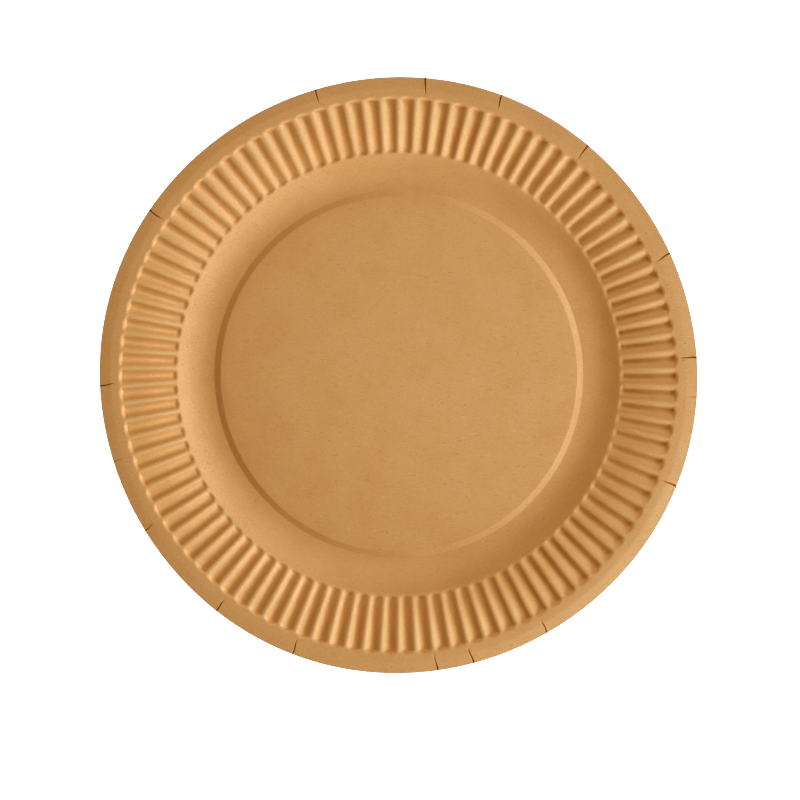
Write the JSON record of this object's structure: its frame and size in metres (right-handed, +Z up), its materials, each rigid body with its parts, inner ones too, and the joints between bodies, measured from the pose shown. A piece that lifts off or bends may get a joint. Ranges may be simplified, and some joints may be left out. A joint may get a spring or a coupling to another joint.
{
  "type": "paper plate",
  "caption": "Round pressed kraft paper plate with a raised centre panel, a curved wall, a fluted flange and a plain creased brim.",
  "frame": {"origin": "centre of the standing ring, on the table", "axes": "+Z up out of the plate towards the food, +X to the right and +Y to the top of the picture"},
  "size_m": [0.23, 0.23, 0.012],
  "materials": {
    "kraft_board": "uncoated brown kraft board, matt, with fine fibres and specks"
  },
  "bodies": {
    "root": {"plate": "kraft_board"}
  },
  "joints": []
}
